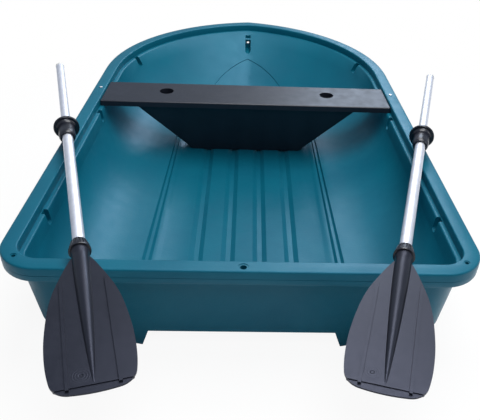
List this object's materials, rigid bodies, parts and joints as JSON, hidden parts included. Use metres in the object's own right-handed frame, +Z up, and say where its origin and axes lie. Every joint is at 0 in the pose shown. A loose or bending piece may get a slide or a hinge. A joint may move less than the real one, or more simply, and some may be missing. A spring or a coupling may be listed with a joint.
{
  "type": "rowing boat",
  "caption": "Small moulded rowing boat with a flat transom, blunt bow, hollow-legged thwart, swivelling rowlocks and oars stowed over the stern.",
  "frame": {"origin": "on the floor under the middle of the bounding box, oars included", "axes": "+Y forward to the bow, +X to starboard, +Z up; the boat stands on its runners at z = 0"},
  "size_m": [1.3702, 2.2394, 0.3817],
  "materials": {
    "hull_plastic": "satin teal moulded polyethylene",
    "thwart_plastic": "satin black moulded polyethylene",
    "rowlock_plastic": "matt black nylon",
    "tube_metal": "satin anodised tube",
    "blade_plastic": "satin charcoal moulded polypropylene",
    "cap_plastic": "white plastic plug"
  },
  "bodies": {
    "boat": {"hull": "hull_plastic", "thwart": "thwart_plastic"},
    "rowlock_starboard": {"rowlock_starboard": "rowlock_plastic"},
    "oar_starboard": {"oar_shaft_starboard": "tube_metal", "oar_handle_starboard": "tube_metal", "oar_end_cap_starboard": "cap_plastic", "oar_collar_starboard": "rowlock_plastic", "oar_ring_nut_starboard": "rowlock_plastic", "oar_blade_starboard": "blade_plastic"},
    "rowlock_port": {"rowlock_port": "rowlock_plastic"},
    "oar_port": {"oar_shaft_port": "tube_metal", "oar_handle_port": "tube_metal", "oar_end_cap_port": "cap_plastic", "oar_collar_port": "rowlock_plastic", "oar_ring_nut_port": "rowlock_plastic", "oar_blade_port": "blade_plastic"}
  },
  "joints": [
    {"name": "swing_starboard", "type": "hinge", "parent": "boat", "child": "rowlock_starboard", "pos_m": [0.53751, -0.13224, 0.343], "axis": [0, 0, 1], "range_deg": [0, 150]},
    {"name": "dip_starboard", "type": "hinge", "parent": "rowlock_starboard", "child": "oar_starboard", "pos_m": [0.53751, -0.13224, 0.343], "axis": [-0.9628, 0.2701, 0], "range_deg": [0, 5.5]},
    {"name": "swing_port", "type": "hinge", "parent": "boat", "child": "rowlock_port", "pos_m": [-0.53751, -0.13224, 0.343], "axis": [0, 0, -1], "range_deg": [0, 150]},
    {"name": "dip_port", "type": "hinge", "parent": "rowlock_port", "child": "oar_port", "pos_m": [-0.53751, -0.13224, 0.343], "axis": [-0.9628, -0.2701, 0], "range_deg": [0, 5.5]}
  ]
}
